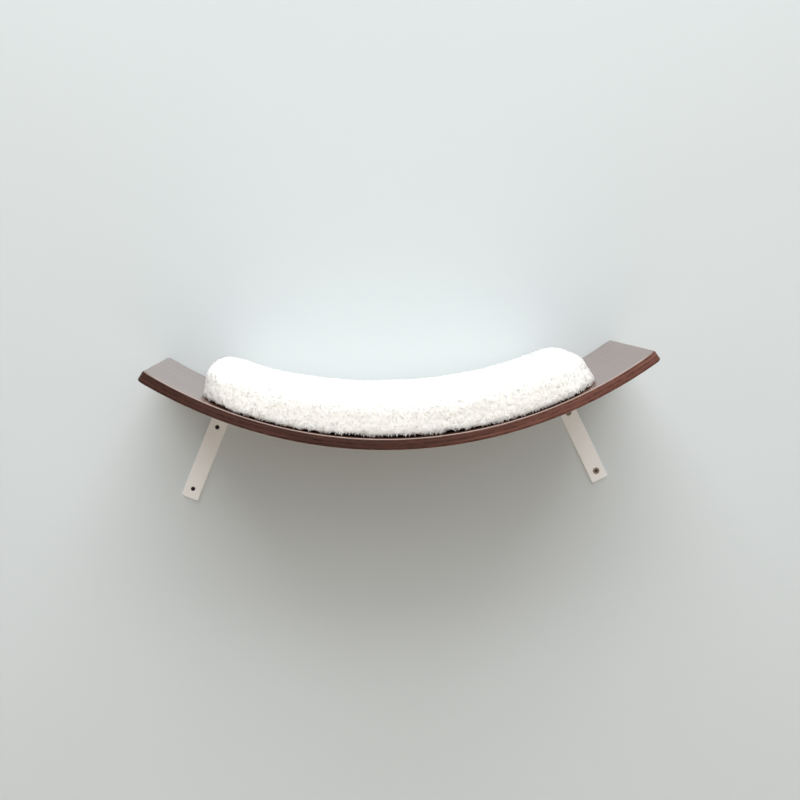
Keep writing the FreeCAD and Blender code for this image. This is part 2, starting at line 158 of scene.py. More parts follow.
# Cloth under the pad
CLOTH_CORNER = 45 * MM
CLOTH_CORNER_COLUMNS = 12
CLOTH_COLUMNS = 40
CLOTH_ROWS = 26
OUTLINE_STEPS = 14
HEM_WIDTH = 7 * MM
HEM_SWELL = 0.45 * MM
HEM_STEP = 6 * MM
HEM_PROFILE = ((0, 0.5), (0.25, 0.95), (0.6, 1), (1, 0.75), (1, 0.25), (0.6, 0), (0.25, 0.05))
STITCH_PITCH = 4.2 * MM
STITCH_LENGTH = 3.0 * MM
STITCH_WIDTH = 0.9 * MM
STITCH_INSET = 3.5 * MM
STITCH_PROFILE = ((-0.5, 0.15), (-0.3, 0.9), (0.3, 0.9), (0.5, 0.15))
STITCH_SIDES = 6

# Hook and loop tape
TAPE_BACKING = 0.55 * MM
TAPE_COLUMNS = 14
TAPE_ROWS = 60
TAPE_UNEVEN = 0.18
SELVEDGE = 1.8 * MM
BRISTLE_STEPS = 5
BRISTLE_SIDES = 3
HOOK = {"pitch": 1.9 * MM, "wire": 0.13 * MM, "reach": 0.35 * MM, "turn": math.radians(150)}
LOOP = {"pitch": 1.7 * MM, "wire": 0.11 * MM, "reach": 0.4 * MM, "turn": math.radians(180)}

# Wall screws
SCREW_LENGTH = 42 * MM
SCREW_HEAD_RADIUS = 4.9 * MM
SCREW_RIM = 0.25 * MM
SCREW_NECK_RADIUS = 1.8 * MM
SCREW_THREAD_RADIUS = 2.5 * MM
SCREW_CORE_RADIUS = 1.7 * MM
SCREW_PITCH = 2.0 * MM
SCREW_RIDGE = 0.3
SCREW_POINT = 6 * MM
SCREW_HEAD_PLACE = -3.7 * MM
SCREW_SIDES = 24
SCREW_STEPS_PER_TURN = 10
SCREW_TURNS = (17, 64, 38, 81)
RECESS_WIDTH = 1.8 * MM
RECESS_LENGTH = 5.4 * MM
RECESS_DEPTH = 1.8 * MM
RECESS_TAPER = (1.15, 0.45)
# Where along Y the screws' recesses are darkened with painted shade
RECESS_SPAN = (SCREW_HEAD_PLACE, SCREW_HEAD_PLACE + 2 * RECESS_DEPTH)
# Painted shade on the painted screws: a near-black disc over each socket, its edge blurred and made
# uneven
SOCKET_RADIUS = 3.1 * MM
PAINT_WEAR = 0.5 * MM
PAINT_EDGE = 0.3 * MM


# Bent coordinates

def bent(run, depth, up):
    """Points in the frame from lengths along the bend, out from the wall and up from the board."""
    run, depth, up = np.broadcast_arrays(np.asarray(run, float), depth, up)
    angle = run / SEAT_RADIUS
    radius = SEAT_RADIUS - up
    return np.stack([radius * np.sin(angle), -depth, AXIS_HEIGHT - radius * np.cos(angle)], axis=-1)


def unbent(points):
    """The lengths along the bend, out from the wall and up from the board's upper face."""
    x, y, z = np.asarray(points, float).reshape(-1, 3).T
    run = SEAT_RADIUS * np.arctan2(x, AXIS_HEIGHT - z)
    up = SEAT_RADIUS - np.hypot(x, AXIS_HEIGHT - z)
    return run, -y, up


def vectors_of(rows, name):
    flat = np.empty(len(rows) * 3, np.float32)
    rows.foreach_get(name, flat)
    return flat.reshape(-1, 3).astype(float)


def coordinates(mesh):
    return vectors_of(mesh.vertices, "co")


def vertex_normals(mesh):
    return vectors_of(mesh.vertex_normals, "vector")


def move_vertices(mesh, places):
    mesh.vertices.foreach_set("co", places.astype(np.float32).ravel())
    mesh.update()


def node_spans(node):
    """The spans of a CAD node along the bend, out from the wall and up from the board."""
    return [(span.min(), span.max()) for span in unbent(coordinates(frame["nodes"][node].data))]


def row_lengths(vectors):
    """The length of each vector as a column, never quite zero."""
    return np.maximum(np.linalg.norm(vectors, axis=1), TINY)[:, None]


def eased(share):
    """A share from 0 to 1 that starts and ends gently."""
    return share * share * (3 - 2 * share)


# Meshes

def new_mesh(name, points, faces, smooth=True):
    mesh = bpy.data.meshes.new(name)
    mesh.from_pydata(np.asarray(points).tolist(), [], faces)
    mesh.update()
    if smooth:
        mesh.shade_smooth()
    return mesh


def new_object(name, mesh):
    made = bpy.data.objects.new(name, mesh)
    bpy.context.scene.collection.objects.link(made)
    return made


def new_piece(name, mesh, body, slot, material, *nodes):
    """A piece of the object: what it rides on, its finish and the CAD nodes that it stands for."""
    piece = new_object(name, mesh)
    mesh.materials.clear()
    mesh.materials.append(material)
    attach(piece, body)
    if nodes:
        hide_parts(*nodes)
    return piece


def joined(*parts):
    """Points and faces of several shapes as one."""
    points = []
    faces = []
    for part_points, part_faces in parts:
        start = sum(len(block) for block in points)
        points.append(np.asarray(part_points, float).reshape(-1, 3))
        faces += [tuple(start + corner for corner in face) for face in part_faces]
    return np.concatenate(points), faces


def evaluated_mesh(piece):
    """The mesh of an object with its modifiers applied."""
    graph = bpy.context.evaluated_depsgraph_get()
    return bpy.data.meshes.new_from_object(piece.evaluated_get(graph))


def tube_faces(rings, sides, start=0):
    """Faces of a closed tube whose rings of points follow each other. The end caps come last."""
    faces = []
    for ring in range(rings - 1):
        for side in range(sides):
            low = start + ring * sides
            after = (side + 1) % sides
            faces.append((low + side, low + after, low + sides + after, low + sides + side))
    faces.append(tuple(start + side for side in reversed(range(sides))))
    faces.append(tuple(start + (rings - 1) * sides + side for side in range(sides)))
    return faces


# Materials

def grey(level):
    return (level, level, level)


def add_node(tree, kind, inputs=None, **settings):
    made = tree.nodes.new(kind)
    for name, setting in settings.items():
        setattr(made, name, setting)
    for socket, source in (inputs or {}).items():
        if isinstance(source, bpy.types.NodeSocket):
            tree.links.new(source, made.inputs[socket])
        else:
            made.inputs[socket].default_value = source
    return made


def new_material(name, **shader_inputs):
    """A material with one principled shader: its tree and its shader."""
    material = bpy.data.materials.new(name)
    material.use_nodes = True
    tree = material.node_tree
    shader = tree.nodes["Principled BSDF"]
    for socket, setting in shader_inputs.items():
        shader.inputs[socket.replace("_", " ")].default_value = setting
    return material, tree, shader


def link_look(tree, shader, colour, roughness=None):
    tree.links.new(colour, shader.inputs["Base Color"])
    if roughness is not None:
        tree.links.new(roughness, shader.inputs["Roughness"])


def place_of(tree):
    return add_node(tree, "ShaderNodeTexCoord").outputs["Object"]


def axis_of(tree, vector, axis):
    return add_node(tree, "ShaderNodeSeparateXYZ", {"Vector": vector}).outputs[axis]


def calculate(tree, operation, first, second=0.0, third=0.0):
    inputs = {0: first, 1: second, 2: third}
    return add_node(tree, "ShaderNodeMath", inputs, operation=operation).outputs[0]


def noise_at(tree, vector, detail, scale=1.0, distortion=0.0):
    inputs = {
        "Vector": vector,
        "Scale": scale,
        "Detail": detail,
        "Roughness": NOISE_ROUGHNESS,
        "Distortion": distortion,
    }
    return add_node(tree, "ShaderNodeTexNoise", inputs).outputs["Fac"]


def colour_ramp(tree, factor, *stops):
    made = add_node(tree, "ShaderNodeValToRGB", {"Fac": factor})
    elements = made.color_ramp.elements
    while len(elements) < len(stops):
        elements.new(1)
    for element, (place, colour) in zip(elements, stops):
        element.position = place
        element.color = (*colour, 1)
    return made.outputs["Color"]


def value_ramp(tree, factor, low, high):
    """Takes a factor from 0 to 1 to the span from low to high."""
    inputs = {"Value": factor, "To Min": low, "To Max": high}
    return add_node(tree, "ShaderNodeMapRange", inputs).outputs["Result"]


def share_of_span(tree, place, start, end):
    """Takes a place between start and end to a factor from 0 to 1."""
    inputs = {"Value": place, "From Min": start, "From Max": end}
    return add_node(tree, "ShaderNodeMapRange", inputs).outputs["Result"]


def mixed(tree, factor, first, second, blend="MIX"):
    inputs = {0: factor, 6: first, 7: second}
    made = add_node(tree, "ShaderNodeMix", inputs, data_type="RGBA", blend_type=blend)
    return made.outputs[2]


def add_bump(tree, shader, height, strength, distance):
    inputs = {"Height": height, "Strength": strength, "Distance": distance}
    bump = add_node(tree, "ShaderNodeBump", inputs)
    tree.links.new(bump.outputs["Normal"], shader.inputs["Normal"])


def unrolled(tree, along=1, across=1, layers=1):
    """Texture coordinates along the bend, across the board and through its layers, each scaled."""
    axes = add_node(tree, "ShaderNodeSeparateXYZ", {"Vector": place_of(tree)}).outputs
    below_axis = calculate(tree, "SUBTRACT", AXIS_HEIGHT, axes["Z"])
    angle = calculate(tree, "ARCTAN2", axes["X"], below_axis)
    sideways_square = calculate(tree, "MULTIPLY", axes["X"], axes["X"])
    radius_square = calculate(tree, "MULTIPLY_ADD", below_axis, below_axis, sideways_square)
    radius = calculate(tree, "SQRT", radius_square)
    scaled = {
        "X": calculate(tree, "MULTIPLY", angle, SEAT_RADIUS * along),
        "Y": calculate(tree, "MULTIPLY", axes["Y"], across),
        "Z": calculate(tree, "MULTIPLY", radius, layers),
    }
    return add_node(tree, "ShaderNodeCombineXYZ", scaled).outputs["Vector"]


def run_of(tree):
    """The length along the bend."""
    return axis_of(tree, unrolled(tree), "X")


def walnut_veneer():
    """Dark walnut under satin lacquer: figure, streaks and pores along the bend, and a painted
    highlight on the front rim.
    """
    material, tree, shader = new_material(
        "walnut_veneer", Coat_Weight=0.9, Coat_Roughness=0.16, Coat_IOR=1.5, Specular_IOR_Level=0.4
    )
    figure_place = unrolled(tree, along=3.2, across=34, layers=34)
    figure = noise_at(tree, figure_place, detail=5, distortion=1.3)
    streaks = noise_at(tree, unrolled(tree, along=9, across=420, layers=420), detail=3)
    pores = noise_at(tree, unrolled(tree, along=90, across=1500, layers=1500), detail=1)
    wood = colour_ramp(
        tree,
        figure,
        (0.28, (0.09, 0.036, 0.021)),
        (0.46, (0.165, 0.07, 0.042)),
        (0.56, (0.125, 0.05, 0.03)),
        (0.72, (0.225, 0.105, 0.066)),
    )
    streak_tone = colour_ramp(tree, streaks, (0.3, (0.55, 0.5, 0.48)), (0.7, WHITE))
    wood = mixed(tree, 0.75, wood, streak_tone, "MULTIPLY")
    pore_tone = colour_ramp(tree, pores, (0.3, (0.35, 0.3, 0.28)), (0.42, WHITE))
    wood = mixed(tree, 0.7, wood, pore_tone, "MULTIPLY")
    # Painted highlight: the rounded front rim is lightened, and the lightening fades out near the
    # board's ends.
    to_rim = share_of_span(tree, axis_of(tree, place_of(tree), "Y"), -RIM_HIGHLIGHT_SPAN[0], -RIM_HIGHLIGHT_SPAN[1])
    wear_and_painted_light = colour_ramp(tree, to_rim, (0.0, grey(0)), (0.75, grey(0.12)), (1.0, grey(0.9)))
    from_middle = calculate(tree, "ABSOLUTE", run_of(tree))
    from_ends = share_of_span(tree, from_middle, RIM_HIGHLIGHT_ENDS[1], RIM_HIGHLIGHT_ENDS[0])
    wood = mixed(tree, calculate(tree, "MULTIPLY", wear_and_painted_light, from_ends), wood, (*RIM_HIGHLIGHT_TONE, 1))
    link_look(tree, shader, wood, value_ramp(tree, streaks, low=0.3, high=0.48))
    add_bump(tree, shader, pores, strength=0.25, distance=0.1 * MM)
    return material


def ply_edge(name, dark, light, along, layers):
    """The stained edge of a ply: long streaks, or short dark ends of grain. Painted shade darkens it to
    the left, paler to the right.
    """
    material, tree, shader = new_material(
        name, Coat_Weight=0.15, Coat_Roughness=0.28, Specular_IOR_Level=0.12
    )
    grain_place = unrolled(tree, along=along, across=60, layers=layers)
    grain = noise_at(tree, grain_place, detail=5, distortion=0.4)
    stain = noise_at(tree, unrolled(tree, along=11, across=25, layers=90), detail=3)
    wood = colour_ramp(tree, grain, (0.3, dark), (0.68, light))
    tone = colour_ramp(tree, stain, (0.3, (0.62, 0.58, 0.56)), (0.7, WHITE))
    wood = mixed(tree, 0.8, wood, tone, "MULTIPLY")
    # Painted shade: the ply edges are darkened towards the left and keep their full tone to the right.
    rightward = share_of_span(tree, run_of(tree), PAINTED_PLY_SHADE_SPAN[0], PAINTED_PLY_SHADE_SPAN[1])
    fade = colour_ramp(tree, rightward, (0.0, grey(0.4)), (0.6, grey(0.6)), (1.0, WHITE))
    wood = mixed(tree, 1.0, wood, fade, "MULTIPLY")
    link_look(tree, shader, wood, value_ramp(tree, grain, low=0.34, high=0.56))
    add_bump(tree, shader, grain, strength=0.35, distance=0.15 * MM)
    return material


def powder_coat():
    """Off-white powder coat with a fine orange peel."""
    material, tree, shader = new_material("powder_coat", Coat_Weight=0.25, Coat_Roughness=0.3)
    place = place_of(tree)
    tone = noise_at(tree, place, scale=38, detail=3)
    peel = noise_at(tree, place, scale=1400, detail=2)
    colour = colour_ramp(tree, tone, (0.3, (0.91, 0.905, 0.885)), (0.7, (0.96, 0.955, 0.94)))
    link_look(tree, shader, colour, value_ramp(tree, peel, low=0.36, high=0.52))
    add_bump(tree, shader, peel, strength=0.4, distance=0.12 * MM)
    return material


def screw_metal(name, dark, light, recess_span=None):
    """Plated screw with patches of patina. Painted shade darkens its recess between two places along Y.
    """
    material, tree, shader = new_material(name, Metallic=0.4)
    place = place_of(tree)
    patina = noise_at(tree, place, scale=420, detail=4)
    plating = colour_ramp(tree, patina, (0.32, dark), (0.68, light))
    if recess_span:
        inward = share_of_span(tree, axis_of(tree, place, "Y"), recess_span[0], recess_span[1])
        # Painted shade: the recess is made near-black where shade falls in it.
        recess_shade_tone = grey(0.02)
        shade = colour_ramp(tree, inward, (0.02, WHITE), (0.06, recess_shade_tone), (0.9, recess_shade_tone), (1.0, WHITE))
        plating = mixed(tree, 1.0, plating, shade, "MULTIPLY")
    link_look(tree, shader, plating, value_ramp(tree, patina, low=0.3, high=0.55))
    add_bump(tree, shader, patina, strength=0.15, distance=0.05 * MM)
    return material


def painted_screw(places):
    """Screw heads painted as the bracket, and a near-black disc of painted shade over the sockets
    within a radius of their axes.
    """
    material, tree, shader = new_material("painted_screw", Specular_IOR_Level=0.3)
    flattening = {0: place_of(tree), 1: (1, 0, 1)}
    flat = add_node(tree, "ShaderNodeVectorMath", flattening, operation="MULTIPLY").outputs[0]
    distances = []
    for place in places:
        ends = {0: flat, 1: (place.x, 0, place.z)}
        measured = add_node(tree, "ShaderNodeVectorMath", ends, operation="DISTANCE")
        distances.append(measured.outputs["Value"])
    patches = noise_at(tree, flat, scale=700, detail=2)
    wear_and_painted_light = value_ramp(tree, patches, low=-PAINT_WEAR, high=PAINT_WEAR)
    from_axis = calculate(tree, "ADD", calculate(tree, "MINIMUM", *distances), wear_and_painted_light)
    # Painted shade: a near-black disc over each socket, with an uneven edge to the pale paint.
    outer = share_of_span(tree, from_axis, SOCKET_RADIUS - PAINT_EDGE, SOCKET_RADIUS + PAINT_EDGE)
    paint = colour_ramp(tree, outer, (0.0, (0.012, 0.011, 0.01)), (1.0, (0.9, 0.89, 0.865)))
    dullness = noise_at(tree, flat, scale=900, detail=2)
    link_look(tree, shader, paint, value_ramp(tree, dullness, low=0.4, high=0.6))
    return material


def plush():
    """White fleece with creamy patches and fibres. Light spreads inside it."""
    material, tree, shader = new_material(
        "plush",
        Roughness=0.95,
        Sheen_Weight=0.35,
        Sheen_Roughness=0.5,
        Subsurface_Weight=0.8,
        Subsurface_Scale=6 * MM,
        Subsurface_Radius=(1.0, 0.98, 0.94),
        Specular_IOR_Level=0.1,
    )
    place = place_of(tree)
    patches = noise_at(tree, place, scale=55, detail=3)
    fibres = noise_at(tree, place, scale=900, detail=3, distortion=0.8)
    colour = colour_ramp(tree, patches, (0.3, (0.815, 0.802, 0.764)), (0.66, (0.87, 0.86, 0.832)))
    fibre_tone = colour_ramp(tree, fibres, (0.25, (0.93, 0.925, 0.91)), (0.6, WHITE))
    link_look(tree, shader, mixed(tree, 0.8, colour, fibre_tone, "MULTIPLY"))
    add_bump(tree, shader, fibres, strength=0.35, distance=0.4 * MM)
    return material


def woven(name, dark, light, pitch):
    """Plain-woven cloth or ribbon, with threads both ways along the bend and across it."""
    material, tree, shader = new_material(
        name, Roughness=0.88, Sheen_Weight=0.2, Specular_IOR_Level=0.2
    )
    per_metre = math.tau / pitch / 2
    axes = unrolled(tree, along=per_metre, across=per_metre)
    warp = calculate(tree, "SINE", axis_of(tree, axes, "X"))
    weft = calculate(tree, "SINE", axis_of(tree, axes, "Y"))
    crossing = calculate(tree, "MULTIPLY", warp, weft)
    weave = calculate(tree, "MULTIPLY_ADD", crossing, 0.5, 0.5)
    slub = noise_at(tree, unrolled(tree, along=120, across=700, layers=50), detail=3)
    tone = mixed(tree, slub, (*dark, 1), (*light, 1))
    shade = colour_ramp(tree, weave, (0.2, grey(0.6)), (0.8, WHITE))
    link_look(tree, shader, mixed(tree, 0.8, tone, shade, "MULTIPLY"))
    add_bump(tree, shader, weave, strength=0.6, distance=0.25 * MM)
    return material


# Board and brackets

def dress_cad_nodes():
    """Finishes for the CAD nodes that keep their own shape."""
    veneer = walnut_veneer()
    cross = ply_edge("ply_cross_grain", (0.072, 0.026, 0.018), (0.21, 0.088, 0.066), 130, 420)
    long = ply_edge("ply_long_grain", (0.1, 0.039, 0.029), (0.285, 0.125, 0.095), 14, 900)
    coat = powder_coat()
    zinc = screw_metal("zinc_plate", (0.2, 0.19, 0.17), (0.42, 0.4, 0.37))
    finishes = {
        "top_veneer": veneer,
        "bottom_veneer": veneer,
        "left_bracket": coat,
        "right_bracket": coat,
        "left_shelf_screws": zinc,
        "right_shelf_screws": zinc,
    }
    plies = sorted(name for name in frame["nodes"] if name.startswith("core_ply"))
    for count, name in enumerate(plies):
        finishes[name] = long if count % 2 else cross
    for name, material in finishes.items():
        mesh = frame["nodes"][name].data
        mesh.materials.clear()
        mesh.materials.append(material)


# Pad

def pad_blank():
    """The foam's form as an even skin of small squares."""
    mesh = frame["nodes"]["foam_core"].data.copy()
    shape = bmesh.new()
    shape.from_mesh(mesh)
    bmesh.ops.remove_doubles(shape, verts=shape.verts, dist=MERGE_WITHIN)
    shape.to_mesh(mesh)
    shape.free()
    blank = new_object("pad_blank", mesh)
    voxels = blank.modifiers.new("voxels", "REMESH")
    voxels.mode = "VOXEL"
    voxels.voxel_size = PAD_VOXEL
    skin = evaluated_mesh(blank)
    bpy.data.objects.remove(blank)
    return skin


def pad_foot():
    """The height of the foam's underside over the board."""
    return node_spans("foam_core")[2][0]


def beyond_cloth(run, depth):
    """How far places lie outside the outline of the cloth, and the outward directions there."""
    run_span, depth_span, _ = node_spans("base_cloth")
    half = np.array([run_span[1], (depth_span[1] - depth_span[0]) / 2])
    place = np.stack([run, depth - sum(depth_span) / 2], axis=-1)
    over = np.abs(place) - (half - CLOTH_CORNER)
    corner = np.maximum(over, 0)
    outside = np.linalg.norm(corner, axis=-1) + np.minimum(over.max(axis=-1), 0) - CLOTH_CORNER
    return outside, np.sign(place) * corner / row_lengths(corner)


def pad_floor(outside):
    """The lowest height for the fleece: on the cloth, or near the board round its outside."""
    share = np.clip((outside + RIM_TUCK) / RIM_STEP, 0, 1)
    return node_spans("base_cloth")[2][1] * (1 - share) + RIM_FLOOR * share


def fill_rim(points):
    """Fills the pad's lower rim out, and sets it down round the cloth."""
    run, depth, up = unbent(points)
    outside, direction = beyond_cloth(run, depth)
    low = np.clip(1 - (up - RIM_FLOOR) / RIM_RISE, 0, 1)
    near = np.clip(1 + outside / RIM_REACH, 0, 1)
    push = eased(low) * near
    run = run + RIM_PUSH_RUN * push * direction[:, 0]
    depth = depth + RIM_PUSH_DEPTH * push * direction[:, 1]
    outside, _ = beyond_cloth(run, depth)
    foot = pad_foot()
    low = np.clip(1 - (up - foot) / RIM_RISE, 0, 1)
    drop = low * np.clip((outside + RIM_TUCK) / RIM_STEP, 0, 1)
    up = up - drop * (foot - RIM_FLOOR)
    return bent(run, depth, np.maximum(up, pad_floor(outside)))


def leaned(points):
    """Lets the pad lean out to the left above its foot, most at its left end, not at its right."""
    run, depth, up = unbent(points)
    share = np.clip(up / PAD_LEAN_HEIGHT, 0, 1)
    leftness = np.clip(0.5 - run / run.max() / 2, 0, 1)
    return bent(run - PAD_LEAN * leftness * eased(share), depth, up)


def is_seated(points, foot):
    """Which points of the skin lie on the cloth, well inside its outline."""
    run, depth, up = unbent(points)
    return (up < foot + PAD_SEATED) & (beyond_cloth(run, depth)[0] < -RIM_FREE)


def swell(mesh):
    """Blows the skin up as cloth under pressure, with its underside held, and limits its rise."""
    rest = coordinates(mesh)
    outward = vertex_normals(mesh)
    seated = is_seated(rest, pad_foot())
    skin = new_object("pad_skin", mesh)
    held = skin.vertex_groups.new(name="seated")
    held.add(np.flatnonzero(seated).tolist(), 1.0, "REPLACE")
    cloth = skin.modifiers.new("swell", "CLOTH")
    cloth.settings.use_pressure = True
    cloth.settings.uniform_pressure_force = PAD_PRESSURE
    cloth.settings.effector_weights.gravity = 0
    cloth.settings.vertex_group_mass = held.name
    cloth.point_cache.frame_start = 1
    cloth.point_cache.frame_end = SWELL_FRAMES
    for step in range(1, SWELL_FRAMES + 1):
        bpy.context.scene.frame_set(step)
    moved = evaluated_mesh(skin)
    shift = coordinates(moved) - rest
    bpy.data.objects.remove(skin)
    bpy.data.meshes.remove(moved)
    bpy.context.scene.frame_set(1)
    out = np.clip(np.sum(shift * outward, axis=1), PAD_SWELL_LEAST, PAD_SWELL_CAP)
    return rest + outward * np.where(seated, 0, out)[:, None]


def refine(mesh, foot):
    """Divides the skin's faces above its underside and smooths the steps away."""
    shape = bmesh.new()
    shape.from_mesh(mesh)
    lowest = foot + PAD_SEATED
    upper = {
        face for face in shape.faces
        if unbent(face.calc_center_median())[2][0] > lowest or face.normal.z > UNDERSIDE_NORMAL
    }
    edges = [edge for edge in shape.edges if not upper.isdisjoint(edge.link_faces)]
    bmesh.ops.subdivide_edges(shape, edges=edges, cuts=PAD_CUTS, use_grid_fill=True)
    all_ways = {"use_axis_x": True, "use_axis_y": True, "use_axis_z": True}
    for _ in range(PAD_SMOOTHINGS):
        bmesh.ops.smooth_vert(shape, verts=shape.verts, factor=SMOOTHING_SHARE, **all_ways)
    shape.to_mesh(mesh)
    shape.free()


def scattered(mesh, most, spacing, random, keep):
    """Seeded points on a mesh, no nearer to each other than a spacing: places and normals.

    They are at most so many, on the triangles whose middles and normals pass keep.
    """
    mesh.calc_loop_triangles()
    corners = np.array([triangle.vertices for triangle in mesh.loop_triangles])
    points = coordinates(mesh)[corners]
    cross = np.cross(points[:, 1] - points[:, 0], points[:, 2] - points[:, 0])
    area = np.linalg.norm(cross, axis=1)
    area = area * keep(points.mean(axis=1), cross / row_lengths(cross))
    picked = random.choice(len(area), size=PICKS_PER_POINT * most, p=area / area.sum())
    first, second = random.random((2, len(picked)))
    flip = first + second > 1
    first = np.where(flip, 1 - first, first)
    second = np.where(flip, 1 - second, second)
    a, b, c = (points[picked, corner] for corner in range(3))
    places = a + (b - a) * first[:, None] + (c - a) * second[:, None]
    normals = cross[picked] / row_lengths(cross[picked])
    cells = {}
    chosen = []
    for index, place in enumerate(places):
        cell = tuple(np.floor(place / spacing).astype(int))
        near = (cells.get((cell[0] + i, cell[1] + j, cell[2] + k)) for i, j, k in NEIGHBOURS)
        if all(other is None or np.sum((places[other] - place) ** 2) > spacing**2 for other in near):
            cells[cell] = index
            chosen.append(index)
            if len(chosen) == most:
                break
    return places[chosen], normals[chosen]


def fleece_relief(mesh, foot, random):
    """Raises the skin into soft locks, with wider waves under them and a fine crimp on them."""
    def above_foot(middle, normal):
        return unbent(middle)[2] > foot

    places = coordinates(mesh)
    normals = vertex_normals(mesh)
    centres, _ = scattered(mesh, MOST_LOCKS, LOCK_SPACING, random, above_foot)
    sizes = random.uniform(*LOCK_SIZES, len(centres))
    tree = KDTree(len(centres))
    for index, centre in enumerate(centres):
        tree.insert(centre, index)
    tree.balance()
    height = np.empty(len(places))
    for index, place in enumerate(places):
        (_, lock, near), (_, _, next_near) = tree.find_n(place, 2)
        edge = min((next_near - near) / LOCK_SPACING, 1)
        waves = noise.noise(Vector(place) / WAVE_LENGTH)
        fine = Vector(place) / CRIMP_LENGTH
        crimp = noise.noise(fine + CRIMP_TWIST * noise.noise_vector(fine))
        height[index] = (
            LOCK_HEIGHT * (sizes[lock] * edge * (2 - edge) - LOCK_SINK)
            + WAVE_HEIGHT * waves
            + CRIMP_HEIGHT * crimp
        )
    run, depth, up = unbent(places)
    floor = pad_floor(beyond_cloth(run, depth)[0])
    fade = np.clip((up - floor) / RELIEF_FADE, 0, 1)
    move_vertices(mesh, places + normals * (height * eased(fade))[:, None])


def soft_normals(places, normals):
    """The skin's own directions, turned upwards on the pad's sides and not near its foot."""
    low, high = WISP_LIT_SPAN
    rise = np.clip((unbent(places)[2] - low) / (high - low), 0, 1)
    upward = WISP_UPWARD * rise * (1 - normals[:, 2])
    return WISP_SOFTNESS * normals + upward[:, None] * UP


def lifted_off_board(points):
    """Moves points that are too near the board away from it, towards the axis of the bend."""
    _, _, up = unbent(points)
    lift = np.maximum(BOARD_CLEARANCE - up.reshape(points.shape[:2]), 0)
    to_axis = np.stack([-points[..., 0], 0 * lift, AXIS_HEIGHT - points[..., 2]], axis=-1)
    return points + to_axis / np.linalg.norm(to_axis, axis=-1, keepdims=True) * lift[..., None]


def wisps(places, normals, random, droop):
    """Tapered wisps that start in the skin and lie over, mostly as their neighbours do.

    Gives their points, their faces and a direction at each point for soft shading.
    """
    count = len(places)
    clump = np.array([noise.noise_vector(Vector(place) / WISP_CLUMP) for place in places])
    lean = clump + random.normal(scale=WISP_STRAY, size=(count, 3)) - droop * UP
    lean -= normals * np.sum(lean * normals, axis=1)[:, None]
    lean /= row_lengths(lean)
    across = np.cross(lean, normals)
    step = random.uniform(*WISP_LENGTH, count)[:, None] / WISP_RINGS
    radius = random.uniform(*WISP_RADIUS, count)[:, None]
    centre = places - normals * WISP_SINK
    points = []
    shades = []
    for ring in range(WISP_RINGS):
        share = ring / WISP_RINGS
        angle = WISP_LEAN[0] + (WISP_LEAN[1] - WISP_LEAN[0]) * share
        along = math.cos(angle) * normals + math.sin(angle) * lean
        outward = math.cos(angle) * lean - math.sin(angle) * normals
        for side in range(WISP_SIDES):
            around = math.tau * side / WISP_SIDES
            offset = math.cos(around) * across + math.sin(around) * outward
            points.append(centre + radius * (1 - share**2) * offset)
            shades.append(offset)
        centre = centre + along * step
    points = lifted_off_board(np.stack([*points, centre], axis=1))
    own = np.stack([*shades, along], axis=1) * (1 - WISP_SOFTNESS)
    shades = own + soft_normals(places, normals)[:, None]
    ring_points = WISP_RINGS * WISP_SIDES
    faces = []
    for start in range(0, count * (ring_points + 1), ring_points + 1):
        last = start + ring_points - WISP_SIDES
        tip = last + WISP_SIDES
        faces += tube_faces(WISP_RINGS, WISP_SIDES, start)[:-1]
        for side in range(WISP_SIDES):
            faces.append((last + side, last + (side + 1) % WISP_SIDES, tip))
    return points.reshape(-1, 3), faces, shades.reshape(-1, 3)


def wisp_mesh(name, *groups):
    """A mesh of groups of wisps, shaded by their own directions."""
    mesh = new_mesh(name, *joined(*(group[:2] for group in groups)))
    shades = np.concatenate([group[2] for group in groups])
    mesh.normals_split_custom_set_from_vertices((shades / row_lengths(shades)).tolist())
    return mesh


def make_pad(material):
    random = np.random.default_rng(PAD_SEED)
    noise.seed_set(PAD_SEED)
    foot = pad_foot()
    mesh = pad_blank()
    move_vertices(mesh, leaned(fill_rim(swell(mesh))))
    refine(mesh, foot)
    fleece_relief(mesh, foot, random)
    mesh.shade_smooth()
    pad = new_piece("plush_pad", mesh, "pad", "plush", material, "plush_cover", "foam_core")

    def on_top(middle, normal):
        return normal[:, 2] > TOP_NORMAL

    def on_sides(middle, normal):
        return (normal[:, 2] <= TOP_NORMAL) & (unbent(middle)[2] > foot + SIDES_ABOVE_FOOT)

    def on_rim(middle, normal):
        run, depth, up = unbent(middle)
        return (up < foot + FRINGE_ABOVE_FOOT) & (beyond_cloth(run, depth)[0] > 0)

    starts = scattered(mesh, TOP_WISPS, WISP_SPACING, random, on_top)
    top = wisps(*starts, random, TOP_DROOP)
    starts = scattered(mesh, SIDE_WISPS, WISP_SPACING, random, on_sides)
    sides = wisps(*starts, random, SIDE_DROOP)
    starts = scattered(mesh, FRINGE_WISPS, FRINGE_SPACING, random, on_rim)
    fringe = wisps(*starts, random, FRINGE_DROOP)
    for name, groups in (("pile_top", [top]), ("pile_sides", [sides, fringe])):
        pile = new_piece(name, wisp_mesh(name, *groups), "pad", "plush", material)
        # Fleece lets light through, and shadows from solid wisps would make dark specks.
        pile.visible_shadow = False


# Cloth under the pad

def cloth_outline(half_run, half_depth, inset):
    """Points round a rectangle with round corners, as pairs of run and depth."""
    straight = np.array([half_run - CLOTH_CORNER, half_depth - CLOTH_CORNER])
    points = []
    for quarter, signs in enumerate(((1, 1), (-1, 1), (-1, -1), (1, -1))):
        for step in range(OUTLINE_STEPS + 1):
            angle = math.radians(90 * quarter + 90 * step / OUTLINE_STEPS)
            direction = np.array([math.cos(angle), math.sin(angle)])
            points.append(np.array(signs) * straight + (CLOTH_CORNER - inset) * direction)
    return np.array(points)


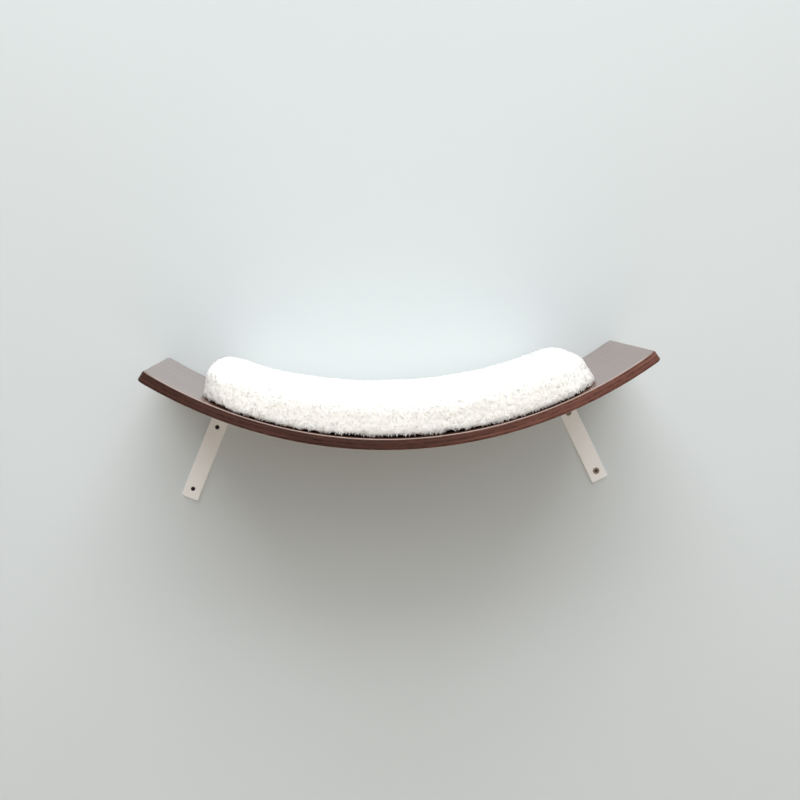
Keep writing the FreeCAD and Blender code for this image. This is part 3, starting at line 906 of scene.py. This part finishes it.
def evenly_spaced(points, pitch):
    """Points at an even pitch along a closed line, with the line's direction there."""
    closed = np.vstack([points, points[:1]])
    steps = np.linalg.norm(np.diff(closed, axis=0), axis=1)
    along = np.concatenate([[0], np.cumsum(steps)])
    count = round(along[-1] / pitch)
    wanted = np.arange(count) * along[-1] / count
    ahead = (wanted + pitch / 2) % along[-1]
    placed = np.stack([np.interp(wanted, along, closed[:, axis]) for axis in (0, 1)], axis=1)
    direction = np.stack([np.interp(ahead, along, closed[:, axis]) for axis in (0, 1)], axis=1) - placed
    return placed, direction / row_lengths(direction)


def bent_panel(runs, half_depths, middle, rows, low, high):
    """A thin closed panel on the bend: points and faces of its two sides and its rim."""
    shares = np.linspace(-1, 1, rows)
    run = np.repeat(np.asarray(runs)[:, None], rows, axis=1)
    depth = middle + np.asarray(half_depths)[:, None] * shares[None, :]
    points = np.concatenate([bent(run, depth, up).reshape(-1, 3) for up in (low, high)])
    columns = len(runs)
    layer = columns * rows
    faces = []
    for column in range(columns - 1):
        for row in range(rows - 1):
            corner = column * rows + row
            square = (corner, corner + 1, corner + rows + 1, corner + rows)
            faces.append(square)
            faces.append(tuple(layer + index for index in reversed(square)))
    rim = [column * rows for column in range(columns)]
    rim += [(columns - 1) * rows + row for row in range(1, rows)]
    rim += [column * rows + rows - 1 for column in reversed(range(columns - 1))]
    rim += reversed(range(1, rows - 1))
    for first, second in zip(rim, rim[1:] + rim[:1]):
        faces.append((first, second, layer + second, layer + first))
    return points, faces


def cloth_shape(half_run, half_depth, middle, low, high):
    """The cloth as a bent panel with round corners: points and faces."""
    straight = half_run - CLOTH_CORNER
    turns = np.linspace(math.pi / 2, 0, CLOTH_CORNER_COLUMNS)
    ends = straight + CLOTH_CORNER * np.sin(turns)
    between = np.linspace(-straight, straight, CLOTH_COLUMNS)[1:-1]
    runs = np.concatenate([-ends, between, ends[::-1]])
    past_straight = np.maximum(np.abs(runs) - straight, 0)
    rounded = np.sqrt(np.maximum(CLOTH_CORNER**2 - past_straight**2, 0))
    return bent_panel(runs, half_depth - CLOTH_CORNER + rounded, middle, CLOTH_ROWS, low, high)


def hem_shape(outline, outward, middle, low, high):
    """A rounded hem along a closed line on the bend: points and faces of a tube without ends."""
    lines = []
    for inward, height in HEM_PROFILE:
        line = outline - outward * HEM_WIDTH * inward
        up = low - HEM_SWELL + (high - low + HEM_SWELL) * height
        lines.append(bent(line[:, 0], middle + line[:, 1], up))
    count = len(outline)
    sides = len(HEM_PROFILE)
    faces = []
    for ring in range(count):
        start = ring * sides
        following = (ring + 1) % count * sides
        for side in range(sides):
            after = (side + 1) % sides
            faces.append((start + side, start + after, following + after, following + side))
    return np.stack(lines, axis=1).reshape(-1, 3), faces


def stitches(placed, directions, up):
    """Short rounded stitches on a bent face that looks down, each along its line."""
    parts = []
    for (run, depth), (ahead_run, ahead_depth) in zip(placed, directions):
        points = []
        for along, girth in STITCH_PROFILE:
            for side in range(STITCH_SIDES):
                angle = math.tau * side / STITCH_SIDES
                across = STITCH_WIDTH / 2 * girth * math.cos(angle)
                drop = STITCH_WIDTH / 2 * girth * math.sin(angle)
                step = STITCH_LENGTH * along
                points.append(
                    bent(
                        run + ahead_run * step - ahead_depth * across,
                        depth + ahead_depth * step + ahead_run * across,
                        up - drop,
                    )
                )
        parts.append((points, tube_faces(len(STITCH_PROFILE), STITCH_SIDES)))
    return joined(*parts)


def make_base_cloth(cloth_material, thread_material):
    run_span, depth_span, (low, high) = node_spans("base_cloth")
    half_run = run_span[1]
    half_depth = (depth_span[1] - depth_span[0]) / 2
    middle = (depth_span[0] + depth_span[1]) / 2
    shape = cloth_shape(half_run, half_depth, middle, low, high)
    mesh = new_mesh("base_sheet", *shape, smooth=False)
    cloth = new_piece("base_sheet", mesh, "pad", "base_cloth", cloth_material, "base_cloth")
    outline, ahead = evenly_spaced(cloth_outline(half_run, half_depth, inset=0), HEM_STEP)
    outward = np.stack([ahead[:, 1], -ahead[:, 0]], axis=1)
    mesh = new_mesh("base_hem", *hem_shape(outline, outward, middle, low, high))
    hem = new_piece("base_hem", mesh, "pad", "base_cloth", cloth_material)
    seam_line = cloth_outline(half_run, half_depth, inset=STITCH_INSET)
    placed, ahead = evenly_spaced(seam_line, STITCH_PITCH)
    placed = placed + np.array([0, middle])
    mesh = new_mesh("base_stitches", *stitches(placed, ahead, low - HEM_SWELL))
    seam = new_piece("base_stitches", mesh, "pad", "base_cloth", thread_material)


# Hook and loop tape

def tape_grid(run_span, depth_span, pitch, random):
    """Places on a tape at a pitch both ways, a little uneven, inside its woven edges."""
    runs = np.arange(run_span[0] + SELVEDGE, run_span[1] - SELVEDGE, pitch)
    depths = np.arange(depth_span[0] + SELVEDGE, depth_span[1] - SELVEDGE, pitch)
    run, depth = (grid.ravel() for grid in np.meshgrid(runs, depths))
    uneven = TAPE_UNEVEN * pitch
    run = run + random.uniform(-uneven, uneven, len(run))
    depth = depth + random.uniform(-uneven, uneven, len(run))
    return run, depth


def bristles(run, depth, root, top, form, random):
    """Thin wires that stand on a tape and bend over by a turn, each facing its own way."""
    facing = random.uniform(0, math.tau, len(run))
    points = []
    for step in range(BRISTLE_STEPS):
        share = step / (BRISTLE_STEPS - 1)
        climb = math.sin(form["turn"] * share)
        along = form["reach"] * (1 - math.cos(form["turn"] * share))
        for side in range(BRISTLE_SIDES):
            around = math.tau * side / BRISTLE_SIDES
            offset = form["wire"] * math.cos(around)
            lift = form["wire"] * math.sin(around)
            points.append(
                bent(
                    run + along * np.cos(facing) - offset * np.sin(facing),
                    depth + along * np.sin(facing) + offset * np.cos(facing),
                    root + (top - root) * climb + lift,
                )
            )
    faces = []
    for index in range(len(run)):
        start = index * BRISTLE_STEPS * BRISTLE_SIDES
        faces += tube_faces(BRISTLE_STEPS, BRISTLE_SIDES, start)
    return np.stack(points, axis=1).reshape(-1, 3), faces


def make_tapes(hook_material, loop_material):
    random = np.random.default_rng(PAD_SEED)
    for kind, body, material in (("hook", "shelf", hook_material), ("loop", "pad", loop_material)):
        for place in ("left", "middle", "right"):
            node = f"{kind}_strip_{place}"
            name = f"{kind}_tape_{place}"
            run_span, depth_span, (low, high) = node_spans(node)
            if kind == "hook":
                form = HOOK
                backing = (low, low + TAPE_BACKING)
                heights = (backing[1], high - form["wire"])
            else:
                form = LOOP
                backing = (high - TAPE_BACKING, high)
                heights = (backing[0], low + form["wire"])
            grid = tape_grid(run_span, depth_span, form["pitch"], random)
            pile = bristles(*grid, *heights, form, random)
            runs = np.linspace(*run_span, TAPE_COLUMNS)
            half_depths = np.full(len(runs), (depth_span[1] - depth_span[0]) / 2)
            middle = (depth_span[1] + depth_span[0]) / 2
            ribbon = bent_panel(runs, half_depths, middle, TAPE_ROWS, *backing)
            mesh = new_mesh(name, *joined(ribbon, pile), smooth=False)
            new_piece(name, mesh, body, f"{kind}_tape", material, node)


# Wall screws

def screw_body():
    """A countersunk wood screw along +Y, its head's face at y = 0: points and faces."""
    head_depth = SCREW_HEAD_RADIUS - SCREW_NECK_RADIUS
    centre = 0.02 * SCREW_HEAD_RADIUS
    bevel = 0.3 * SCREW_RIM
    cone = 0.6 * SCREW_RIM
    profile = [
        (0.0, centre),
        (0.0, SCREW_HEAD_RADIUS - SCREW_RIM),
        (bevel, SCREW_HEAD_RADIUS - bevel),
        (SCREW_RIM, SCREW_HEAD_RADIUS),
        (SCREW_RIM + cone, SCREW_HEAD_RADIUS - cone),
        (head_depth, SCREW_NECK_RADIUS + SCREW_RIM),
        (head_depth + SCREW_RIM, SCREW_NECK_RADIUS),
    ]
    thread_start = -SCREW_HEAD_PLACE
    step = SCREW_PITCH / SCREW_STEPS_PER_TURN
    along = np.arange(thread_start - SCREW_PITCH / 2, SCREW_LENGTH - step / 2, step)
    rings = [(place, [radius] * SCREW_SIDES) for place, radius in profile]
    for place in along:
        taper = min((SCREW_LENGTH - place) / SCREW_POINT, 1)
        start = min(max((place - thread_start) / SCREW_PITCH + 0.5, 0), 1)
        core = SCREW_NECK_RADIUS + (SCREW_CORE_RADIUS - SCREW_NECK_RADIUS) * start
        radii = []
        for side in range(SCREW_SIDES):
            phase = (place / SCREW_PITCH - side / SCREW_SIDES) % 1
            ridge = max(0, 1 - abs(phase - 0.5) / SCREW_RIDGE)
            radii.append(taper * (core + (SCREW_THREAD_RADIUS - core) * ridge * start))
        rings.append((place, radii))
    points = []
    for place, radii in rings:
        for side, radius in enumerate(radii):
            angle = math.tau * side / SCREW_SIDES
            points.append((radius * math.cos(angle), place, radius * math.sin(angle)))
    faces = [tuple(reversed(face)) for face in tube_faces(len(rings), SCREW_SIDES)]
    return points, faces


def cross_cutter():
    """The cross that is taken out of a screw's head: two tapered bars."""
    parts = []
    for turn in (0, math.pi / 2):
        points = []
        for place, share in zip((-RECESS_DEPTH / 2, RECESS_DEPTH), RECESS_TAPER):
            for end, edge in SQUARE:
                x = end * RECESS_LENGTH / 2 * share
                z = edge * RECESS_WIDTH / 2 * (0.5 + 0.5 * share)
                turned_x = x * math.cos(turn) - z * math.sin(turn)
                turned_z = x * math.sin(turn) + z * math.cos(turn)
                points.append((turned_x, place, turned_z))
        parts.append((points, [tuple(reversed(face)) for face in tube_faces(2, 4)]))
    return parts


def screw_mesh():
    blank = new_object("screw_blank", new_mesh("screw_blank", *screw_body(), smooth=False))
    cutters = []
    for count, part in enumerate(cross_cutter()):
        name = f"screw_cutter_{count}"
        cutter = new_object(name, new_mesh(name, *part, smooth=False))
        slot = blank.modifiers.new(name, "BOOLEAN")
        slot.operation = "DIFFERENCE"
        slot.solver = "EXACT"
        slot.object = cutter
        cutters.append(cutter)
    mesh = evaluated_mesh(blank)
    for made in (blank, *cutters):
        bpy.data.objects.remove(made)
    return mesh


def wall_screw_places():
    """Where the wall screws' axes meet the wall, by side."""
    places = {"left": [], "right": []}
    for mount in frame["record"]["mounts"]:
        if mount["kind"] == "bolt_pattern":
            middle = Vector(mount["pos_m"])
            half = mount["dims"]["spacing_x_mm"] * MM / 2
            places["left"].append(middle - Vector((half, 0, 0)))
            places["right"].append(middle + Vector((half, 0, 0)))
    return places


def make_wall_screws(materials):
    mesh = screw_mesh()
    base = coordinates(mesh)
    faces = [tuple(face.vertices) for face in mesh.polygons]
    head = np.array([0, SCREW_HEAD_PLACE, 0])
    turns = iter(SCREW_TURNS)
    for side, places in wall_screw_places().items():
        parts = []
        for place in places:
            turned = np.array(Matrix.Rotation(math.radians(next(turns)), 3, "Y"))
            parts.append((base @ turned.T + np.array(place) + head, faces))
        name = f"wall_screws_{side}"
        made = new_mesh(name, *joined(*parts), smooth=False)
        new_piece(name, made, "shelf", "zinc_screw", materials[side], f"{side}_wall_screws")


# Stage, light and camera

def stage_material(name, colour):
    """A plain pale surface that can be seen through from behind."""
    material, tree, shader = new_material(name, Roughness=0.9, Specular_IOR_Level=0.2)
    mottle = noise_at(tree, place_of(tree), scale=2.2, detail=2)
    darker = [STAGE_MOTTLE * part for part in colour]
    link_look(tree, shader, colour_ramp(tree, mottle, (0.3, darker), (0.7, colour)))
    behind = add_node(tree, "ShaderNodeNewGeometry").outputs["Backfacing"]
    clear = add_node(tree, "ShaderNodeBsdfTransparent").outputs["BSDF"]
    mix = add_node(tree, "ShaderNodeMixShader", {0: behind, 1: shader.outputs["BSDF"], 2: clear})
    tree.links.new(mix.outputs["Shader"], tree.nodes["Material Output"].inputs["Surface"])
    return material


def stage_plane(name, corners, colour):
    plane = new_object(name, new_mesh(name, corners, [(0, 1, 2, 3)], smooth=False))
    plane.data.materials.append(stage_material(f"{name}_paint", colour))
    return plane


def make_stage():
    wall_corners = [
        (STAGE_REACH * x, WALL_BEHIND, FLOOR_HEIGHT + STAGE_REACH * (z + 1) / 2) for x, z in SQUARE
    ]
    wall = stage_plane("wall", wall_corners, WALL_COLOUR)
    # Light passes through the wall, so that the perch isn't dark from behind.
    wall.visible_shadow = False
    floor_corners = [(STAGE_REACH * x, STAGE_REACH * y, FLOOR_HEIGHT) for x, y in SQUARE]
    floor = stage_plane("floor", floor_corners, FLOOR_COLOUR)


def add_area_light(name, place, target, size, power):
    light = bpy.data.lights.new(name, "AREA")
    light.shape = "RECTANGLE"
    light.size = size[0]
    light.size_y = size[1]
    light.energy = power
    lamp = bpy.data.objects.new(name, light)
    lamp.location = place
    lamp.rotation_euler = (Vector(target) - Vector(place)).to_track_quat("-Z", "Y").to_euler()
    bpy.context.scene.collection.objects.link(lamp)


def make_light():
    world = bpy.data.worlds.new("pale_room")
    world.use_nodes = True
    background = world.node_tree.nodes["Background"]
    background.inputs["Color"].default_value = WORLD_COLOUR
    background.inputs["Strength"].default_value = WORLD_STRENGTH
    bpy.context.scene.world = world
    add_area_light("ceiling_light", (0, -2.2, 3.8), target=(0, -2.2, 0), size=(5.0, 3.6), power=224)
    add_area_light("wall_wash", (0, -2.6, 2.2), target=(0, 0, 0.1), size=(3.0, 1.6), power=34)
    add_area_light("front_fill", (0.6, -3.4, 0.9), target=(0, 0, 0), size=(2.4, 1.6), power=17)
    add_area_light("rear_fill", (-0.5, 1.9, 1.0), target=(0, 0, 0), size=(1.6, 1.6), power=9)
    bpy.context.scene.view_settings.view_transform = "Standard"


def make_camera():
    lens = bpy.data.cameras.new("camera")
    lens.lens = CAMERA_LENS
    lens.clip_start = CAMERA_NEAR
    camera = bpy.data.objects.new("camera", lens)
    turn = Matrix.Rotation(CAMERA_TURN, 4, "Z")
    tilt = Matrix.Rotation(CAMERA_TILT, 4, "X")
    roll = Matrix.Rotation(CAMERA_ROLL, 4, "Y")
    look_ahead = Matrix.Rotation(math.pi / 2, 4, "X")
    camera.matrix_world = Matrix.Translation(CAMERA_PLACE) @ turn @ tilt @ roll @ look_ahead
    bpy.context.scene.collection.objects.link(camera)
    bpy.context.scene.camera = camera


dress_cad_nodes()
make_pad(plush())
make_base_cloth(
    woven("base_weave", (0.02, 0.018, 0.017), (0.045, 0.041, 0.038), pitch=1.1 * MM),
    woven("base_thread", (0.05, 0.046, 0.042), (0.09, 0.083, 0.077), pitch=0.5 * MM),
)
make_tapes(
    woven("hook_weave", (0.012, 0.012, 0.013), (0.028, 0.028, 0.03), pitch=0.7 * MM),
    woven("loop_weave", (0.016, 0.016, 0.017), (0.036, 0.036, 0.038), pitch=0.7 * MM),
)
make_wall_screws(
    {
        "left": painted_screw(wall_screw_places()["left"]),
        # The right screws' recesses carry painted shade.
        "right": screw_metal("worn_screw", (0.2, 0.15, 0.115), (0.4, 0.32, 0.26), RECESS_SPAN),
    }
)
make_stage()
make_light()
make_camera()
